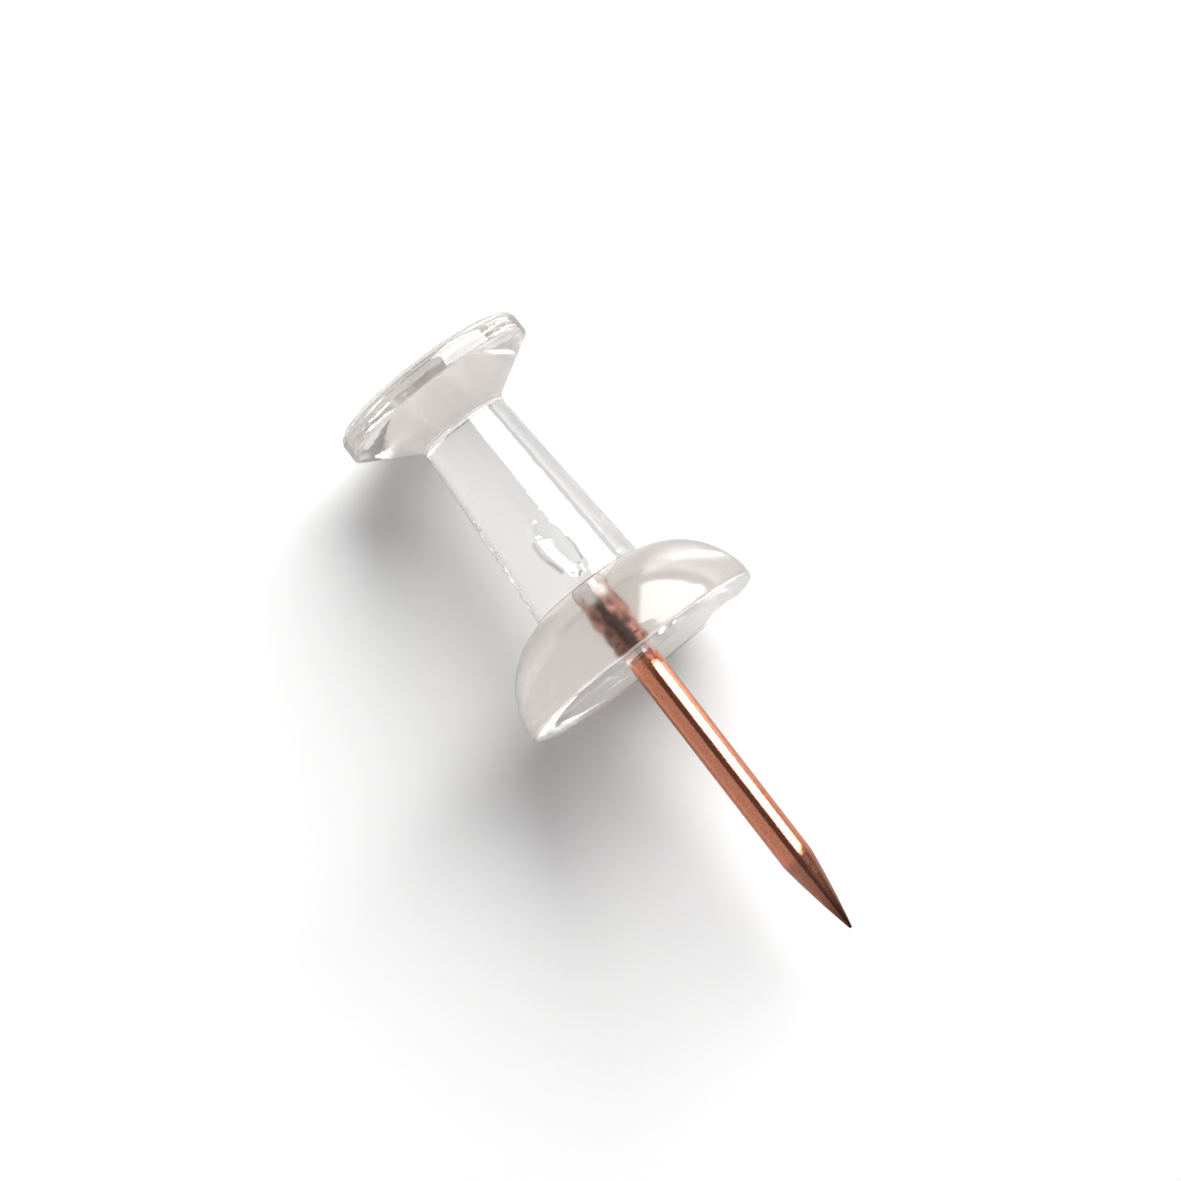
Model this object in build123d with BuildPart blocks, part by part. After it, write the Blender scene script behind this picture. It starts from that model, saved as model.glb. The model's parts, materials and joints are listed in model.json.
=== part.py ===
from build123d import *
import os
from math import asin, atan2, cos, degrees, hypot, sin

# Push pin: a clear moulded handle round a plated wire needle, lying on its side as it comes to rest
# on a table. Millimetres, +Z up, table top at Z = 0, needle point towards +X.
# Heights in the profiles are measured along the pin from the flange's flat face towards the head.

# Flange: a flat face, a short straight rim and a domed back
flange_d = 9.7
rim_height = 0.5
rim_edge_round = 0.12
dome_height = 3.2
dome_bulge = 0.61

# Grip: a cone that is widest at the dome
grip_length = 7.45
grip_base_d = 4.4
grip_neck_d = 3.35
neck_fillet = 0.35

# Head: a flared underside, a straight rim and a flat top for the thumb
head_d = 7.7
head_flare_height = 1.3
head_rim_height = 0.95
head_top_round = 0.4
head_crease_round = 0.05

# Gate stub: the broken runner left on the side of the grip
gate_length = 2.2
gate_width = 1.1
gate_proud = 0.12
gate_from_dome = 1.6
gate_root = 0.5

# Needle: straight shank, ground point and a thinner barbed tail that the plastic locks round
wire_d = 1.2
shank_length = 8.9
point_length = 3.1
point_bulge = 0.035
point_flat_d = 0.1
tail_taper = 0.4
tail_d = 0.92
barb_count = 4
barb_pitch = 0.45
barb_depth = 0.07
tail_chamfer = 0.15

flange_r = flange_d / 2
grip_base_r = grip_base_d / 2
grip_neck_r = grip_neck_d / 2
head_r = head_d / 2
wire_r = wire_d / 2
tail_r = tail_d / 2
neck_height = dome_height + grip_length
crease_height = neck_height + head_flare_height
handle_length = crease_height + head_rim_height
needle_length = shank_length + point_length
tail_length = tail_taper + barb_count * barb_pitch + tail_chamfer

# The pin rests on the rim's upper corner and on the head's top round. The table is the line that touches
# both, so the pin's tilt follows from the corner and the centre of the round.
round_r = head_r - head_top_round
round_height = handle_length - head_top_round
rest_drop = flange_r - round_r
rest_span = round_height - rim_height
tilt = atan2(rest_drop, rest_span) - asin(head_top_round / hypot(rest_drop, rest_span))
reach_head = round_height * cos(tilt) + round_r * sin(tilt) + head_top_round
reach_point = needle_length * cos(tilt) + point_flat_d / 2 * sin(tilt)

# Centre of the flange's flat face: the pin's box is centred on the origin and stands on the table
face_x = (reach_head - reach_point) / 2
face_z = rim_height * sin(tilt) + flange_r * cos(tilt)
towards_point = Vector(cos(tilt), 0, sin(tilt))
upwards = Vector(-sin(tilt), 0, cos(tilt))
face_centre = Vector(face_x, 0, face_z)
pin_axis = Axis(origin=face_centre, direction=towards_point)

# Profiles are drawn on this plane: X is the radius, Y the height above the flange's face
profile_plane = Plane(origin=face_centre, x_dir=upwards, z_dir=(0, -1, 0))

os.makedirs("parts", exist_ok=True)

# Needle
wire_end = (0, tail_length)
tail_end = (tail_r - barb_depth, tail_length)
tail_shoulder = (tail_r, tail_length - tail_chamfer)
shank_end = (wire_r, 0)
point_start = (wire_r, -shank_length)
point_end = (point_flat_d / 2, -needle_length)
point_centre = (0, -needle_length)

# Each barb narrows from the tail's radius and ends in a step that stops the wire from being pulled out
barb_outline = [wire_end, tail_end, tail_shoulder]
for barb in reversed(range(barb_count)):
    barb_low = tail_taper + barb * barb_pitch
    barb_outline.append((tail_r - barb_depth, barb_low + barb_pitch))
    barb_outline.append((tail_r, barb_low))

with BuildPart() as needle:
    with BuildSketch(profile_plane):
        with BuildLine():
            Polyline(*barb_outline, shank_end, point_start)
            SagittaArc(point_start, point_end, point_bulge)
            Polyline(point_end, point_centre, wire_end)
        make_face()
    revolve(axis=pin_axis)

needle.part.label = "needle"
export_step(needle.part, "parts/needle.step")

# Handle
face_middle = (0, 0)
rim_low = (flange_r, 0)
rim_top = (flange_r, rim_height)
dome_top = (grip_base_r, dome_height)
neck = (grip_neck_r, neck_height)
crease = (head_r, crease_height)
head_edge = (head_r, handle_length)
head_middle = (0, handle_length)

# The gate stub stands on the upper side of the grip, square to the grip's surface
grip_slope = (grip_base_r - grip_neck_r) / grip_length
gate_height = dome_height + gate_from_dome
gate_r = grip_base_r - gate_from_dome * grip_slope
gate_centre = face_centre - towards_point * gate_height + upwards * (gate_r + gate_proud)
gate_plane = Plane(origin=gate_centre, x_dir=towards_point, z_dir=upwards)

with BuildPart() as handle:
    with BuildSketch(profile_plane) as handle_profile:
        with BuildLine():
            Polyline(face_middle, rim_low, rim_top)
            SagittaArc(dome_top, rim_top, dome_bulge)
            Polyline(dome_top, neck, crease, head_edge, head_middle, face_middle)
        make_face()
        fillet(handle_profile.vertices().sort_by_distance(rim_low)[0], rim_edge_round)
        fillet(handle_profile.vertices().sort_by_distance(neck)[0], neck_fillet)
        fillet(handle_profile.vertices().sort_by_distance(crease)[0], head_crease_round)
        fillet(handle_profile.vertices().sort_by_distance(head_edge)[0], head_top_round)
    revolve(axis=pin_axis)
    with BuildSketch(gate_plane):
        Ellipse(gate_length / 2, gate_width / 2)
    extrude(amount=-(gate_proud + gate_root))
    add(needle.part, mode=Mode.SUBTRACT)

handle.part.label = "handle"
export_step(handle.part, "parts/handle.step")

box_low = handle.part.bounding_box().min
print(f"handle {handle_length:.2f} mm long, needle {needle_length:.2f} mm out of the face")
print(f"lies tilted by {degrees(tilt):.3f} degrees, lowest point at {box_low.Z:.4f} mm")
print(f"face centre at {face_x:.4f}, {face_z:.4f} mm")
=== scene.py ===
# %% [markdown]
# # A clear push pin with a copper needle
# A push pin lies on a white table. Its handle is clear moulded plastic, and a copper-plated steel wire
# is moulded into it and ground to a point. The frame already holds both solids at their right size and
# place, but their round faces are flat facets, and clear plastic shows every facet. So both pieces are
# modelled again here as fine, smooth meshes of the same sizes, with the small marks of moulding that
# make plastic look like plastic.

import json
from math import asin, atan2, cos, hypot, pi, radians, sin, tan

import bmesh
import bpy
from mathutils import Matrix, Vector


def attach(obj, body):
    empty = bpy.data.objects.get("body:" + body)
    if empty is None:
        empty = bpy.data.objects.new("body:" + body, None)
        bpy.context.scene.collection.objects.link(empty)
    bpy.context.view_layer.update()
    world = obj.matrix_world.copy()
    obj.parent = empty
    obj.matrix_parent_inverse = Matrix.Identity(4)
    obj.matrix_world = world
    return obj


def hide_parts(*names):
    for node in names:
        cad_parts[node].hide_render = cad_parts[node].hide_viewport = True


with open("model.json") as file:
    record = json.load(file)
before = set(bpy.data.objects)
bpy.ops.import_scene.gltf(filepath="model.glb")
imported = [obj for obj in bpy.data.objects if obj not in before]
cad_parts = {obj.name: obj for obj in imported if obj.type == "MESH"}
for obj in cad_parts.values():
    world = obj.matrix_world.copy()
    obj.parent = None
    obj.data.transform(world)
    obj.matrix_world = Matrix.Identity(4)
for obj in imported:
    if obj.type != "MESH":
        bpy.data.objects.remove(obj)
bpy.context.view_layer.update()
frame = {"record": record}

# %% [markdown]
# ## Where the pin lies
# The record says where the bare wire is, which way it points, how thick it is and how long. The middle
# of the flange's flat face and the tilt of the pin follow from that, so nothing is fitted by eye. Each
# piece is modelled upright and in millimetres, with the flat face at height 0 and the head above it,
# because an upright turned shape is easy to draw. One move at the end scales it and lays it down.

# %% Read the pin's place from the record
MM = 0.001
mounts = {mount["name"]: mount for mount in frame["record"]["mounts"]}
bare_wire = mounts["needle_shank"]
towards_point = Vector(bare_wire["axis"])
wire_radius = bare_wire["dims"]["r_mm"]
shank_length = bare_wire["dims"]["length_mm"]
face_centre = Vector(bare_wire["pos_m"]) - towards_point * (shank_length / 2 * MM)
tilt = atan2(towards_point.z, towards_point.x)
print("the flat face is at", tuple(face_centre), "and the pin leans by", round(tilt, 4), "radians")

# %% [markdown]
# ## Drawing a turned piece
# Both pieces are round about one axis, as if made on a lathe. A profile could be typed in as a list of
# points, but here it is drawn as by hand: a plane is merged to one vertex, the vertex is extruded along
# straight runs and spun about a centre for arcs. Spinning the whole line once round the axis makes the
# surface.


# %% Helpers that draw half of a section
def begin_section(name, radius, height):
    """Starts a section as a single vertex, made from a plane that is merged to its centre."""
    bpy.ops.object.select_all(action="DESELECT")
    bpy.ops.mesh.primitive_plane_add(size=1, location=(0, 0, 0))
    piece = bpy.context.object
    piece.name = name
    piece.data.name = name
    bpy.ops.object.mode_set(mode="EDIT")
    bpy.ops.mesh.select_mode(type="VERT")
    bpy.ops.mesh.select_all(action="SELECT")
    bpy.ops.mesh.merge(type="CENTER")
    bpy.ops.mesh.select_all(action="SELECT")
    bpy.ops.transform.translate(value=(radius, 0, height))
    return piece


def section_end(piece):
    """Gives the radius and height of the section's selected end."""
    bm = bmesh.from_edit_mesh(piece.data)
    end = next(vertex for vertex in bm.verts if vertex.select)
    return end.co.x, end.co.z


def line_to(piece, radius, height, steps=1):
    """Extrudes the end of the section to a new point in equal steps."""
    old_radius, old_height = section_end(piece)
    step = ((radius - old_radius) / steps, 0, (height - old_height) / steps)
    for _ in range(steps):
        bpy.ops.mesh.extrude_region_move(TRANSFORM_OT_translate={"value": step})


def arc_about(centre, turn, steps):
    """Spins the end of the section about a centre, given as radius and height."""
    bpy.ops.mesh.spin(steps=steps, angle=turn, center=(centre[0], 0, centre[1]), axis=(0, 1, 0))


def round_corner(piece, radius, height, size, segments):
    """Bevels the corner of the section that is nearest to a radius and height."""
    bpy.ops.mesh.select_all(action="DESELECT")
    bm = bmesh.from_edit_mesh(piece.data)
    corner = Vector((radius, 0, height))
    nearest = min(bm.verts, key=lambda vertex: (vertex.co - corner).length)
    nearest.select_set(True)
    bm.select_flush(True)
    bmesh.update_edit_mesh(piece.data)
    bpy.ops.mesh.bevel(offset_type="OFFSET", offset=size, segments=segments, affect="VERTICES")


# %% Helpers that turn the section and lay the piece down
weld_distance = 0.0005


def turn_section(piece, steps):
    """Spins the finished section once round the axis, then closes the seam and the poles."""
    bpy.ops.mesh.select_all(action="SELECT")
    bpy.ops.mesh.spin(steps=steps, angle=2 * pi, center=(0, 0, 0), axis=(0, 0, 1))
    bpy.ops.mesh.select_all(action="SELECT")
    bpy.ops.mesh.remove_doubles(threshold=weld_distance)
    bpy.ops.mesh.normals_make_consistent(inside=False)


def lay_down(piece, sharp_angle):
    """Scales an upright piece to metres, lays it where the pin lies and shades it smooth."""
    bpy.ops.object.mode_set(mode="OBJECT")
    piece.scale = (MM, MM, MM)
    piece.rotation_euler = (0, -(pi / 2 + tilt), 0)
    piece.location = face_centre
    bpy.ops.object.transform_apply(location=True, rotation=True, scale=True)
    bpy.ops.object.shade_smooth_by_angle(angle=radians(sharp_angle))
    print(piece.name, "has", len(piece.data.polygons), "faces")


# %% [markdown]
# ## The needle
# A push pin's needle is a piece of hard wire. One end has barbs that the plastic grips, the other is
# ground to a point whose sides swell a little. A cone would do from far away, but the bulge of the
# ground point catches the light, so it is drawn as an arc. The barbs show as a blurred shape through
# the plastic, so they are drawn too.

# %% Needle sizes in millimetres
point_length = 3.1
point_bulge = 0.035
point_end_radius = 0.05
tail_taper = 0.4
tail_radius = 0.46
barb_count = 4
barb_pitch = 0.45
barb_depth = 0.07
tail_chamfer = 0.15
tail_length = tail_taper + barb_count * barb_pitch + tail_chamfer
needle_length = shank_length + point_length
needle_sides = 128
needle_sharp_angle = 25
print("the needle is", round(needle_length + tail_length, 2), "mm long, tail and all")

# %% Draw the barbed tail and the straight wire
needle = begin_section("copper_needle", 0, tail_length)
line_to(needle, tail_radius - barb_depth, tail_length, steps=3)
line_to(needle, tail_radius, tail_length - tail_chamfer, steps=2)
for barb in reversed(range(barb_count)):
    barb_low = tail_taper + barb * barb_pitch
    line_to(needle, tail_radius - barb_depth, barb_low + barb_pitch)
    line_to(needle, tail_radius, barb_low, steps=4)
line_to(needle, wire_radius, 0, steps=2)
line_to(needle, wire_radius, -shank_length, steps=30)
print("the shank ends at radius and height", section_end(needle))

# %% Draw the ground point as an arc and turn the section
point_narrows = wire_radius - point_end_radius
point_chord = hypot(point_narrows, point_length)
point_arc_radius = (point_chord / 2) ** 2 / (2 * point_bulge) + point_bulge / 2
point_turn = 2 * asin(point_chord / 2 / point_arc_radius)
point_lean = atan2(point_narrows, point_length) - point_turn / 2
point_arc_centre = (
    wire_radius - point_arc_radius * cos(point_lean),
    -shank_length + point_arc_radius * sin(point_lean),
)
arc_about(point_arc_centre, -point_turn, steps=28)
line_to(needle, 0, -needle_length, steps=2)
turn_section(needle, needle_sides)
lay_down(needle, needle_sharp_angle)

# %% [markdown]
# ## The handle
# The handle is one shot of clear plastic: a flange with a domed back, a grip that narrows to a neck,
# and a head that flares to a flat-topped disc. The section is drawn from the bore for the wire, out
# along the flat face, up the dome and the grip, and over the head. The bore is a little narrower than
# the wire, so no air gap shows. Corners of the real mould are never quite sharp, so they get tiny
# bevels that catch a thin line of light.

# %% Handle sizes in millimetres
flange_radius = 4.85
rim_height = 0.5
rim_edge_round = 0.12
dome_height = 3.2
dome_bulge = 0.61
grip_length = 7.45
grip_base_radius = 2.2
grip_neck_radius = 1.675
neck_fillet = 0.35
head_radius = 3.85
head_flare_height = 1.3
head_rim_height = 0.95
head_top_round = 0.4
crease_round = 0.05
neck_height = dome_height + grip_length
crease_height = neck_height + head_flare_height
handle_length = crease_height + head_rim_height
print("the handle is", round(handle_length, 2), "mm long")

# %% Sizes that only the mesh needs
# A narrow band of faces beside each rounded edge holds the flat next to it flat.
bore_inset = 0.03
bore_end_inset = 0.05
bore_radius = tail_radius - barb_depth - bore_inset
bore_depth = tail_length - bore_end_inset
holding_band = 0.03
handle_sides = 192
handle_sharp_angle = 30
print("the wire's bore has a radius of", round(bore_radius, 3), "mm")

# %% Draw the bore, the flat face and the rim
handle = begin_section("clear_handle", 0, bore_depth)
line_to(handle, bore_radius, bore_depth)
line_to(handle, bore_radius, 0, steps=6)
line_to(handle, flange_radius - rim_edge_round - holding_band, 0, steps=24)
line_to(handle, flange_radius - rim_edge_round, 0)
arc_about((flange_radius - rim_edge_round, rim_edge_round), pi / 2, steps=8)
line_to(handle, flange_radius, rim_height, steps=6)
print("the rim ends at radius and height", section_end(handle))

# %% Draw the dome as one arc
dome_run = flange_radius - grip_base_radius
dome_rise = dome_height - rim_height
dome_chord = hypot(dome_run, dome_rise)
dome_arc_radius = (dome_chord / 2) ** 2 / (2 * dome_bulge) + dome_bulge / 2
inward = (dome_arc_radius - dome_bulge) / dome_chord
dome_centre = (
    (flange_radius + grip_base_radius) / 2 - dome_rise * inward,
    (rim_height + dome_height) / 2 - dome_run * inward,
)
dome_turn = 2 * asin(dome_chord / 2 / dome_arc_radius)
arc_about(dome_centre, dome_turn, steps=48)
print("the dome ends at radius and height", section_end(handle))

# %% Draw the grip, the neck fillet and the head
grip_lean = atan2(grip_base_radius - grip_neck_radius, grip_length)
flare_lean = atan2(head_radius - grip_neck_radius, head_flare_height)
neck_turn = grip_lean + flare_lean
setback = neck_fillet * tan(neck_turn / 2)
fillet_start = (
    grip_neck_radius + setback * sin(grip_lean),
    neck_height - setback * cos(grip_lean),
)
neck_centre = (
    fillet_start[0] + neck_fillet * cos(grip_lean),
    fillet_start[1] + neck_fillet * sin(grip_lean),
)
line_to(handle, *fillet_start, steps=110)
arc_about(neck_centre, -neck_turn, steps=12)
line_to(handle, head_radius, crease_height, steps=16)
line_to(handle, head_radius, handle_length - head_top_round, steps=6)
arc_about((head_radius - head_top_round, handle_length - head_top_round), pi / 2, steps=12)
line_to(handle, head_radius - head_top_round - holding_band, handle_length)
line_to(handle, 0, handle_length, steps=16)
print("the head ends at radius and height", section_end(handle))

# %% Round the small corners and turn the section
round_corner(handle, flange_radius, rim_height, crease_round, segments=3)
round_corner(handle, grip_base_radius, dome_height, crease_round, segments=4)
round_corner(handle, head_radius, crease_height, crease_round, segments=3)
turn_section(handle, handle_sides)
print("the turned handle has", len(bmesh.from_edit_mesh(handle.data).verts), "vertices")

# %% [markdown]
# ## The torn gate
# Plastic entered the mould through a small gate on the grip, and when the sprue was broken off it left
# a scar: a raised ridge on one side, a shallow torn pit beside it and a ragged edge. A texture alone
# would not bend the light as this does, so the scar is shaped in the mesh. The skin there is divided
# finer, and then lines of vertices are pushed out or in with proportional editing, as with a fingertip.

# %% Lines of the scar, as points across the grip and up it, in millimetres
gate_pit = [(0.08, 5.20), (0.03, 4.75), (0.10, 4.20), (0.18, 3.85)]
gate_ridge = [
    (-0.30, 5.95),
    (-0.44, 5.60),
    (-0.49, 5.20),
    (-0.45, 4.75),
    (-0.38, 4.40),
    (-0.31, 4.05),
    (-0.27, 3.60),
]
gate_foot = [(-0.60, 5.35), (-0.62, 4.95), (-0.56, 4.58), (-0.48, 4.31), (-0.40, 4.00)]
gate_edge = [(0.50, 4.85), (0.54, 4.60), (0.51, 4.30), (0.46, 3.95)]
gate_crumb = [(-0.16, 5.97)]
gate_shreds = [(0.24, 3.86), (0.22, 3.58), (0.05, 3.45)]
scar_middle = [(-0.1, 3.6), (-0.1, 5.8)]
torn_middle = [(0.25, 5.0), (0.3, 4.0)]
print("the ridge of the scar has", len(gate_ridge), "points")

# %% Helpers that find and select the skin beside a line
upper_side = 1.2


def beside_line(piece, line, reach):
    """Finds the vertices on the grip's upper side near a line of points, and how far off they are."""
    ends = [Vector(point) for point in line]
    runs = list(zip(ends, ends[1:])) or [(ends[0], ends[0])]
    found = []
    for vertex in bmesh.from_edit_mesh(piece.data).verts:
        if vertex.co.x < upper_side or not dome_height + crease_round < vertex.co.z < neck_height:
            continue
        spot = Vector((vertex.co.y, vertex.co.z))
        distances = []
        for start, end in runs:
            run = end - start
            share = (spot - start).dot(run) / run.length_squared if run.length_squared else 0
            distances.append((spot - start - run * min(max(share, 0), 1)).length)
        if min(distances) < reach:
            found.append((vertex, min(distances)))
    return found


def select_beside(piece, line, reach):
    """Selects the vertices beside a line and the faces between them."""
    bpy.ops.mesh.select_all(action="DESELECT")
    for vertex, _ in beside_line(piece, line, reach):
        vertex.select_set(True)
    bmesh.from_edit_mesh(piece.data).select_flush(True)
    bmesh.update_edit_mesh(piece.data)


# %% Divide the skin round the scar
scar_reach = 0.8
scar_cuts = 2
bpy.ops.mesh.select_mode(type="VERT")
select_beside(handle, scar_middle, scar_reach)
bpy.ops.mesh.subdivide(number_cuts=scar_cuts)
print("the divided skin has", len(bmesh.from_edit_mesh(handle.data).verts), "vertices")

# %% A helper that pushes the skin along a line
line_reach = 0.02


def push_line(piece, line, lift, reach):
    """Moves the skin along a line outwards, and the skin beside it less and less."""
    select_beside(piece, line, line_reach)
    bpy.ops.transform.translate(
        value=(lift, 0, 0),
        use_proportional_edit=True,
        proportional_edit_falloff="SMOOTH",
        proportional_size=reach,
    )


# %% Sink the pit and push the ridges out
pushes = (
    # line, how far it moves outwards, how far the move reaches
    (gate_pit, -0.10, 0.42),
    (gate_ridge, 0.16, 0.26),
    (gate_foot, -0.06, 0.12),
    (gate_edge, 0.05, 0.08),
    (gate_crumb, 0.10, 0.16),
    (gate_shreds, 0.05, 0.10),
)
for line, lift, reach in pushes:
    push_line(handle, line, lift, reach)
print("the scar is shaped by", len(pushes), "pushes")

# %% Make the torn pit ragged
torn_reach = 0.26
torn_depth = 0.012
torn_seed = 5
select_beside(handle, torn_middle, torn_reach)
bpy.ops.transform.vertex_random(offset=torn_depth, uniform=0.0, normal=1.0, seed=torn_seed)
bpy.ops.mesh.vertices_smooth(factor=0.5, repeat=1)
print("the pit is torn to a depth of", torn_depth, "mm")

# %% Paint shade into the scar's groove and along its torn edge
scar_shade_lines = (
    # line, how far the painted shade reaches, how dark it is
    (gate_foot, 0.13, 0.75),
    (gate_foot[2:], 0.09, 1.0),
    (gate_edge, 0.06, 0.9),
)
painted_shade_layer = bmesh.from_edit_mesh(handle.data).verts.layers.float.new("grime")
for line, reach, strength in scar_shade_lines:
    for vertex, distance in beside_line(handle, line, reach):
        scar_shade = strength * (1 - (distance / reach) ** 2)
        vertex[painted_shade_layer] = max(vertex[painted_shade_layer], scar_shade)
bmesh.update_edit_mesh(handle.data)
scar_shade_verts = [vertex for vertex in bmesh.from_edit_mesh(handle.data).verts if vertex[painted_shade_layer]]
print("dust lies on", len(scar_shade_verts), "vertices")

# %% [markdown]
# ## Chips along the grip
# The two halves of the mould meet along the side of the grip. A thin flash of plastic forms there, and
# scraping it off leaves a row of small chips that break the edge of every reflection. The vertices of a
# narrow strip are moved at random along their normals, with a seed so that each run is the same.

# %% Chip the side of the grip
chip_depth = 0.03
chip_seed = 2
chip_strip = (0.3, 0.85)
chip_heights = (3.8, 7.6)
chip_side = -1.0
bpy.ops.mesh.select_all(action="DESELECT")
for vertex in bmesh.from_edit_mesh(handle.data).verts:
    on_side = chip_strip[0] < vertex.co.x < chip_strip[1] and vertex.co.y < chip_side
    vertex.select_set(on_side and chip_heights[0] < vertex.co.z < chip_heights[1])
bmesh.update_edit_mesh(handle.data)
bpy.ops.transform.vertex_random(offset=chip_depth, uniform=0.0, normal=1.0, seed=chip_seed)
lay_down(handle, handle_sharp_angle)


# %% [markdown]
# ## Writing shader maths as Python
# A material is a graph of nodes, but a sum is easier to read as a sum. One small class wraps a socket,
# so that adding or multiplying two of them adds the Math nodes. Its one other method adds any node.


# %% A wrapper for sockets
class Strand:
    """A socket in a node tree that can be used in sums."""

    def __init__(self, tree, socket=None):
        self.tree = tree
        self.socket = socket

    def node(self, kind, settings=None, inputs=None, output=0):
        """Adds a node: first its settings, then the values or links of its sockets."""
        made = self.tree.nodes.new(kind)
        for name, value in (settings or {}).items():
            if name == "stops":
                stops = made.color_ramp.elements
                while len(stops) < len(value):
                    stops.new(1.0)
                for stop, (position, colour) in zip(stops, value):
                    stop.position = position
                    stop.color = (*colour, 1)
            else:
                setattr(made, name, value)
        for name, value in (inputs or {}).items():
            socket = self.shown(made.inputs, name)
            if isinstance(value, Strand):
                self.tree.links.new(value.socket, socket)
            else:
                socket.default_value = value
        if not made.outputs:
            return None
        return Strand(self.tree, self.shown(made.outputs, output))

    @staticmethod
    def shown(sockets, name):
        """Picks a socket by its place or name. A Mix node hides those for other kinds of data."""
        if isinstance(name, int):
            return sockets[name]
        return next(socket for socket in sockets if socket.name == name and socket.enabled)

    def math(self, operation, first, second):
        """Adds a Math node."""
        return self.node("ShaderNodeMath", {"operation": operation}, {0: first, 1: second})

    def __add__(self, other):
        return self.math("ADD", self, other)

    def __radd__(self, other):
        return self.math("ADD", other, self)

    def __sub__(self, other):
        return self.math("SUBTRACT", self, other)

    def __rsub__(self, other):
        return self.math("SUBTRACT", other, self)

    def __mul__(self, other):
        return self.math("MULTIPLY", self, other)

    def __rmul__(self, other):
        return self.math("MULTIPLY", other, self)


# %% Helpers for a new finish and its coordinates
def new_finish(name):
    """Makes an empty material and a strand in its node tree."""
    material = bpy.data.materials.new(name)
    material.use_nodes = True
    material.node_tree.nodes.clear()
    return material, Strand(material.node_tree)


def pin_coordinates(strand):
    """Object coordinates in millimetres along the pin: X runs from the flat face towards the point."""
    place = strand.node("ShaderNodeTexCoord", output="Object")
    return strand.node(
        "ShaderNodeMapping",
        {"vector_type": "TEXTURE"},
        {"Vector": place, "Location": face_centre, "Rotation": (0, -tilt, 0), "Scale": (MM, MM, MM)},
    )


def part_of(strand, vector, axis):
    """One part of a vector: X, Y or Z."""
    return strand.node("ShaderNodeSeparateXYZ", {}, {"Vector": vector}, output=axis)


def stretched(strand, vector, factors):
    """Scales a vector's parts, so that a pattern can be long one way."""
    return strand.node("ShaderNodeVectorMath", {"operation": "MULTIPLY"}, {0: vector, 1: factors})


# %% Helpers for patterns and colours
def noise(strand, vector, scale, detail=2.0, roughness=0.5):
    """A noise pattern with a value from 0 to 1."""
    return strand.node(
        "ShaderNodeTexNoise",
        {"noise_dimensions": "3D"},
        {"Vector": vector, "Scale": scale, "Detail": detail, "Roughness": roughness},
        output="Fac",
    )


def ramp_up(strand, value, start, end):
    """Goes smoothly from 0 at start to 1 at end."""
    return strand.node(
        "ShaderNodeMapRange",
        {"interpolation_type": "SMOOTHSTEP"},
        {"Value": value, "From Min": start, "From Max": end, "To Min": 0.0, "To Max": 1.0},
        output="Result",
    )


def two_tones(strand, value, low, high):
    """A colour that goes from one to another, each given with the value where it is reached."""
    return strand.node("ShaderNodeValToRGB", {"stops": [low, high]}, {"Fac": value}, output="Color")


def blended(strand, share, first, second):
    """Goes from the first colour to the second as the share goes from 0 to 1."""
    return strand.node(
        "ShaderNodeMix",
        {"data_type": "RGBA"},
        {"Factor": share, "A": first, "B": second},
        output="Result",
    )


def bumped(strand, height):
    """Normals of a skin whose height is given in millimetres."""
    return strand.node(
        "ShaderNodeBump",
        {},
        {"Strength": 1.0, "Distance": MM, "Height": height},
        output="Normal",
    )


# %% [markdown]
# ## Clear plastic
# The handle is clear polystyrene, which bends light more than the glass of a window does, so its index
# of refraction is 1.59. It is faintly warm and never quite even. The mould leaves a soft waviness on the
# grip that makes the edges of reflections ragged, the dome is slightly hazy and blurs the wire behind
# it, and the flat face is polished. The flat face is tinted paler, a painted highlight, and shade is
# painted into the scar's groove and along its torn edge. A plain glass shader would look like glass, so
# the waves, the haze, the tint and the painted highlight and shade each get their own pattern.

# %% Find the parts of the handle
plastic, strand = new_finish("clear_plastic")
pin = pin_coordinates(strand)
along = part_of(strand, pin, "X")
on_dome = ramp_up(strand, along, -dome_height - 0.15, -dome_height + 0.1)
on_head = 1 - ramp_up(strand, along, -neck_height - 0.25, -neck_height + 0.25)
on_face = ramp_up(strand, along, -0.06, -0.01)
print("the plastic starts with", len(plastic.node_tree.nodes), "nodes")

# %% Make its skin wavy and its dome hazy
waves = noise(strand, stretched(strand, pin, (2.6, 1.6, 1.6)), scale=1.0, roughness=0.6)
grain = noise(strand, pin, scale=5.0, roughness=0.6)
wave_height = 0.012 - on_dome * 0.009 - on_head * 0.005
grain_height = 0.002 - on_dome * 0.001
skin = bumped(strand, waves * wave_height + grain * grain_height)
haze = ramp_up(strand, along, -dome_height + 0.3, -dome_height + 1.0) * (1 - on_face)
print("with its skin the plastic has", len(plastic.node_tree.nodes), "nodes")

# %% Tint it, paint a highlight on the flat face and paint shade into the scar
thick_tint = (0.83, 0.77, 0.72, 1)
# A paler tint on the flat face is a painted highlight
face_painted_highlight_tint = (1.0, 0.98, 0.97, 1)
# The shade painted into the scar's groove and along its torn edge takes this colour
scar_shade_tint = (0.25, 0.23, 0.22, 1)
cloud = noise(strand, pin, scale=0.5, detail=3.0)
thin_tint = two_tones(strand, cloud, (0.3, (0.79, 0.78, 0.765)), (0.7, (0.815, 0.805, 0.79)))
tint = blended(strand, on_dome + on_head * 0.6, thin_tint, thick_tint)
tint = blended(strand, on_face, tint, face_painted_highlight_tint)
# The shade painted round the scar is read from the mesh
grime = strand.node("ShaderNodeAttribute", {"attribute_name": "grime"}, output="Fac")
tint = blended(strand, grime, tint, scar_shade_tint)
print("with its tint the plastic has", len(plastic.node_tree.nodes), "nodes")

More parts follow.
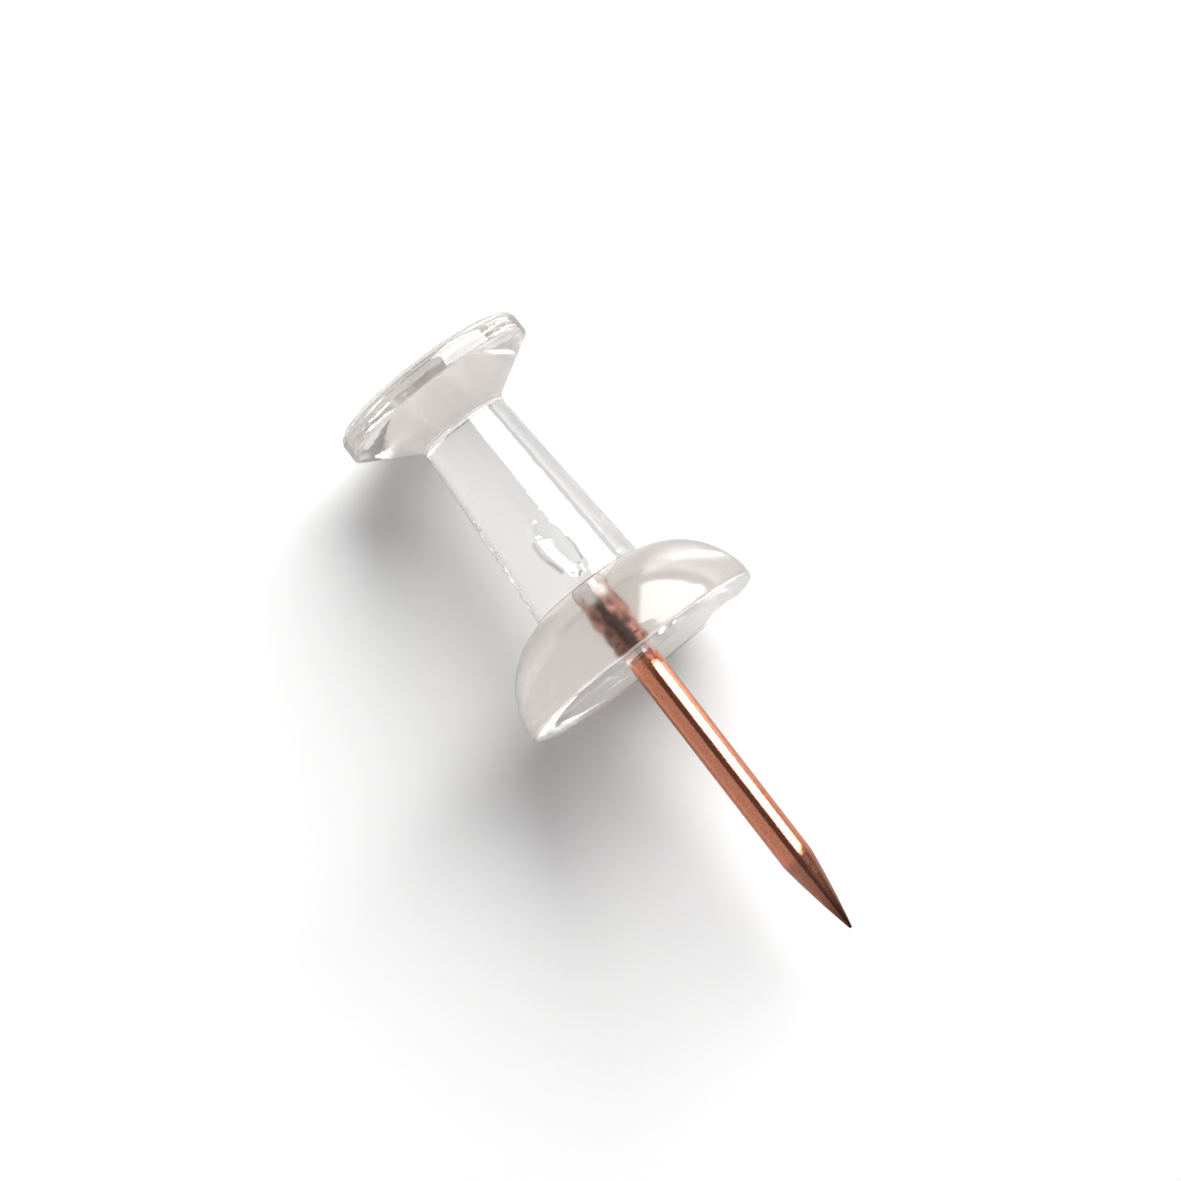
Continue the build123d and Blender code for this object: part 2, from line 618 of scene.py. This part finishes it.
# %% Finish the plastic
polished_roughness = 0.02
haze_roughness = 0.12
shader = strand.node(
    "ShaderNodeBsdfPrincipled",
    {},
    {
        "Base Color": tint,
        "Roughness": polished_roughness + haze * haze_roughness,
        "IOR": 1.59,
        "Transmission Weight": 1.0,
        "Normal": skin,
    },
    output="BSDF",
)
strand.node("ShaderNodeOutputMaterial", {}, {"Surface": shader})
handle.data.materials.append(plastic)
print(handle.name, "is made of", handle.data.materials[0].name)

# %% [markdown]
# ## Copper plate
# The wire is plated with copper and drawn through a die, so fine lines run along it and small specks
# dull it. The ground point is duller and darker, most of all at its worn tip. The tail was crimped and
# then had hot plastic moulded round it, so it is blotched. A dark reflection is painted along the
# tail's middle, and a highlight is painted pale on its top, further in. One metal colour would look like
# a copper rod, so each stretch of the wire gets its own colours, joined by soft ramps along it.

# %% Find the stretches of the wire
copper, strand = new_finish("copper_plate")
pin = pin_coordinates(strand)
along = part_of(strand, pin, "X")
across = part_of(strand, pin, "Y")
upward = part_of(strand, pin, "Z")
ground = ramp_up(strand, along, shank_length - 0.1, shank_length + 0.25)
worn = ramp_up(strand, along, shank_length + 0.9, needle_length)
buried = 1 - ramp_up(strand, along, -0.25, 0.05)
print("the copper starts with", len(copper.node_tree.nodes), "nodes")

# %% Colour the bright wire and the ground point
worn_brown = (0.16, 0.06, 0.045, 1)
draw_lines = noise(strand, stretched(strand, pin, (0.8, 22.0, 22.0)), scale=1.0)
specks = noise(strand, pin, scale=16.0, roughness=0.6)
plated = two_tones(strand, specks, (0.3, (0.72, 0.25, 0.145)), (0.7, (0.95, 0.39, 0.255)))
bare = two_tones(strand, specks, (0.3, (0.42, 0.165, 0.11)), (0.7, (0.64, 0.28, 0.195)))
bare = blended(strand, worn, bare, worn_brown)
wire_colour = blended(strand, ground, plated, bare)
print("with its bright wire the copper has", len(copper.node_tree.nodes), "nodes")

# %% Colour the buried tail, with a painted dark reflection and a painted highlight
# Colours of the dark reflection and the highlight that are painted on the tail
tail_painted_reflection_brown = (0.06, 0.03, 0.026, 1)
tail_painted_highlight_white = (0.95, 0.93, 0.92, 1)
crimps = noise(strand, pin, scale=5.0, detail=3.0, roughness=0.6)
crimped = two_tones(strand, crimps, (0.42, (0.20, 0.08, 0.065)), (0.58, (0.75, 0.37, 0.29)))
# A dark stripe painted along the middle of the tail stands in for its reflection of the dark room
tail_painted_reflection_edge = across + (crimps - 0.5) * 1.2
tail_painted_reflection = ramp_up(strand, tail_painted_reflection_edge, -0.2, -0.05) * (1 - ramp_up(strand, tail_painted_reflection_edge, 0.12, 0.26))
crimped = blended(strand, tail_painted_reflection, crimped, tail_painted_reflection_brown)
# A pale patch painted on the upper side of the tail, further in, stands in for a highlight
tail_painted_highlight_edge = along + (crimps - 0.5) * 0.6
tail_painted_highlight = (
    ramp_up(strand, tail_painted_highlight_edge, -1.8, -1.6)
    * (1 - ramp_up(strand, tail_painted_highlight_edge, -1.42, -1.24))
    * ramp_up(strand, upward, 0.0, 0.2)
)
crimped = blended(strand, tail_painted_highlight, crimped, tail_painted_highlight_white)
print("with its tail the copper has", len(copper.node_tree.nodes), "nodes")

# %% Finish the copper
metal_height = draw_lines * 0.0008 + specks * (0.0022 + ground * 0.003) + crimps * (buried * 0.1)
metal_roughness = 0.1 + specks * 0.06 + ground * 0.1 + buried * 0.22
shader = strand.node(
    "ShaderNodeBsdfPrincipled",
    {},
    {
        "Base Color": blended(strand, buried, wire_colour, crimped),
        "Metallic": 1 - buried * 0.7,
        "Roughness": metal_roughness,
        "Normal": bumped(strand, metal_height),
    },
    output="BSDF",
)
strand.node("ShaderNodeOutputMaterial", {}, {"Surface": shader})
needle.data.materials.append(copper)
print(needle.name, "is made of", needle.data.materials[0].name)

# %% [markdown]
# ## The table
# The pin lies on a plain white sheet with a soft gloss. The camera sees it as matt white paper with the
# pin's shadow on it, and plain white further away. The pin's mirror images show the gloss: the softbox
# is mirrored in the sheet, and that makes a second white stripe on the grip. A ray that has come through
# the clear plastic sees mostly plain white, because a pin on a bright sheet is full of its light.

# %% Lay the white sheet
table_size = 6
bpy.ops.object.select_all(action="DESELECT")
bpy.ops.mesh.primitive_plane_add(size=table_size, location=(0, 0, 0))
table = bpy.context.object
table.name = "white_table"
print("the sheet is", table_size, "m wide")

# %% Tell apart how the sheet is seen
sheet, strand = new_finish("white_sheet")
seen_straight = strand.node("ShaderNodeLightPath", output="Is Camera Ray")
seen_through = strand.node("ShaderNodeLightPath", output="Is Transmission Ray")
seen_glossy = strand.node("ShaderNodeLightPath", output="Is Glossy Ray")
mirrored = seen_glossy * (1 - seen_through)
sheet_place = strand.node("ShaderNodeTexCoord", output="Object")
from_pin = strand.node(
    "ShaderNodeVectorMath", {"operation": "LENGTH"}, {0: sheet_place}, output="Value"
)
far = ramp_up(strand, from_pin, 0.06, 0.25)
white_through_plastic = 0.64
blank = far * (seen_straight + seen_glossy) + (1 - far) * seen_through * white_through_plastic
print("the sheet starts with", len(sheet.node_tree.nodes), "nodes")

# %% Finish the sheet
paper_white = (0.92, 0.92, 0.92, 1)
full_white = (1, 1, 1, 1)
satin_grey = (0.62, 0.62, 0.62, 1)
whiteness = blended(strand, seen_straight, paper_white, full_white)
paper = strand.node("ShaderNodeBsdfDiffuse", {}, {"Color": whiteness})
satin = strand.node(
    "ShaderNodeBsdfPrincipled",
    {},
    {"Base Color": satin_grey, "Roughness": 0.05, "IOR": 1.5},
    output="BSDF",
)
near_sheet = strand.node("ShaderNodeMixShader", {}, {"Fac": mirrored, 1: paper, 2: satin})
plain_white = strand.node("ShaderNodeEmission", {}, {"Color": full_white, "Strength": 1.0})
seen = strand.node("ShaderNodeMixShader", {}, {"Fac": blank, 1: near_sheet, 2: plain_white})
strand.node("ShaderNodeOutputMaterial", {}, {"Surface": seen})
table.data.materials.append(sheet)
print(table.name, "is made of", table.data.materials[0].name)

# %% [markdown]
# ## Light
# One large softbox stands on the far side. Its mirror image makes the long white stripe on the grip and
# on the needle, and it throws the soft shadow. Seen through clear plastic, a bright softbox would wash
# the dome out to white, so it is hidden there, and a dimmed copy just in front of it is seen instead.
# The copy also sends half of the light through the plastic onto the sheet, so the shadow stays pale. A
# bright card on the other side is seen only through the plastic, where it makes small sparkles.

# %% Stand the panels
panels = (
    # name, distance, heading from straight across the pin in degrees, width, foot, top, radiance
    ("softbox", 1.0, 34, 1.14, 0.12, 1.8, 8.2),
    ("softbox_through_plastic", 0.99, 34, 1.14, 0.12, 1.8, 8.2),
    ("sparkle_card", 1.0, -30, 1.0, 0.45, 1.5, 18.0),
)
for name, distance, heading, width, foot, top, radiance in panels:
    turn = radians(heading)
    panel_place = (-sin(turn) * distance, cos(turn) * distance, (foot + top) / 2)
    bpy.ops.object.light_add(type="AREA", location=panel_place)
    panel = bpy.context.object
    panel.name = name
    panel.rotation_euler = (pi / 2, 0, pi + turn)
    panel.data.shape = "RECTANGLE"
    panel.data.size = width
    panel.data.size_y = top - foot
    panel.data.energy = radiance * pi * width * (top - foot)
    print(name, "has", round(panel.data.energy, 2), "W")

# %% Share the light between what is seen through the plastic and what falls on the table
shares = (
    # name, share seen straight through the plastic, share that reaches the table through it
    ("softbox_through_plastic", 0.08, 0.5),
    ("sparkle_card", 1.0, 0.0),
)
bpy.data.objects["softbox"].visible_transmission = False
for name, straight_share, table_share in shares:
    panel = bpy.data.objects[name]
    panel.visible_diffuse = False
    panel.visible_glossy = False
    panel.data.use_nodes = True
    panel.data.node_tree.nodes.clear()
    strand = Strand(panel.data.node_tree)
    scatterings = strand.node("ShaderNodeLightPath", output="Diffuse Depth")
    from_table = ramp_up(strand, scatterings, 0.0, 1.0)
    share = straight_share + from_table * (table_share - straight_share)
    glow = strand.node("ShaderNodeEmission", {}, {"Strength": share})
    strand.node("ShaderNodeOutputLight", {}, {"Surface": glow})
    print(name, "is seen through the plastic at", straight_share, "of its strength")

# %% [markdown]
# ## The room
# The room is what the pin mirrors where it doesn't mirror the softbox. Its walls are dark, and paler on
# the near side, where they give the shaded side of the grip and the needle a soft sheen. A dark slot is
# cut into the edge of the pale part. To the camera the room is plain white, like the sheet, and partly
# so through the plastic.

# %% Paint the walls
room = bpy.data.worlds.new("room")
bpy.context.scene.world = room
room.use_nodes = True
room.node_tree.nodes.clear()
strand = Strand(room.node_tree)
dark_wall = (0.1, 0.1, 0.1, 1)
pale_wall = (0.52, 0.52, 0.52, 1)
direction = strand.node("ShaderNodeTexCoord", output="Generated")
sideways = part_of(strand, direction, "X")
across = part_of(strand, direction, "Y")
rise = part_of(strand, direction, "Z")
seen_glossy = strand.node("ShaderNodeLightPath", output="Is Glossy Ray")
near_side = 1 - ramp_up(strand, across, -0.32, -0.2)
walls = blended(strand, near_side * (0.25 + seen_glossy * 0.75), dark_wall, pale_wall)
print("the walls have", len(room.node_tree.nodes), "nodes")

# %% Cut the dark slot and finish the room
dark_slot = (
    ramp_up(strand, sideways, -0.5, -0.4)
    * (1 - ramp_up(strand, sideways, 0.0, 0.1))
    * ramp_up(strand, across, -0.28, -0.18)
    * ramp_up(strand, rise, 0.0, 0.5)
)
shades = blended(strand, dark_slot, walls, dark_wall)
seen_straight = strand.node("ShaderNodeLightPath", output="Is Camera Ray")
seen_through = strand.node("ShaderNodeLightPath", output="Is Transmission Ray")
room_through_plastic = 0.3
white_share = seen_straight + seen_through * room_through_plastic
background = blended(strand, white_share, shades, full_white)
glow = strand.node("ShaderNodeBackground", {}, {"Color": background, "Strength": 1.0})
strand.node("ShaderNodeOutputWorld", {}, {"Surface": glow})
print("the room has", len(room.node_tree.nodes), "nodes")

# %% [markdown]
# ## Camera
# The camera looks almost straight down from a hand's length away. Its place follows from where the
# middle of the flat face falls in the picture and which way the needle points there, so it needs no
# moving about by eye.

# %% Work out where the camera is
photo_size = 1181
face_pixel = (643.8, 659.4)
needle_heading = radians(52.3)
camera_lean = radians(2.2)
camera_distance = 0.2
pixels_per_mm = 28.2
focal_pixels = pixels_per_mm / MM * camera_distance
look = Vector((-sin(camera_lean), 0, -cos(camera_lean)))
needle_on_film = (towards_point - look * towards_point.dot(look)).normalized()
beside_needle = look.cross(needle_on_film)
film_right = needle_on_film * cos(needle_heading) - beside_needle * sin(needle_heading)
film_down = needle_on_film * sin(needle_heading) + beside_needle * cos(needle_heading)
shift_right = (face_pixel[0] - photo_size / 2) / focal_pixels
shift_down = (face_pixel[1] - photo_size / 2) / focal_pixels
towards_face = look + film_right * shift_right + film_down * shift_down
camera_place = face_centre - towards_face * camera_distance
print("the camera is at", tuple(round(part, 4) for part in camera_place))

# %% Set the camera
sensor_width = 36
bpy.ops.object.camera_add()
camera = bpy.context.object
camera.name = "camera"
film_turn = Matrix((film_right, -film_down, -look)).transposed().to_4x4()
camera.matrix_world = Matrix.Translation(camera_place) @ film_turn
camera.data.sensor_width = sensor_width
camera.data.lens = focal_pixels * sensor_width / photo_size
camera.data.clip_start = MM
bpy.context.scene.camera = camera
print("the lens is", round(camera.data.lens, 1), "mm long")

# %% Set the view and let light pass through many walls of plastic
bounces = 24
bpy.context.scene.view_settings.view_transform = "Standard"
bpy.context.scene.cycles.max_bounces = bounces
bpy.context.scene.cycles.transmission_bounces = bounces
bpy.context.scene.cycles.glossy_bounces = bounces
print("a ray of light may bounce", bounces, "times")

# %% [markdown]
# ## Hand over
# Each piece rides on the pin's one body and stands for its solid, which is hidden.

# %% Hang each piece on the pin's body and hide the solid it stands for
for piece, node, slot in ((handle, "handle", "clear_plastic"), (needle, "needle", "copper_plate")):
    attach(piece, "root")
    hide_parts(node)
    print(piece.name, "stands for", node)
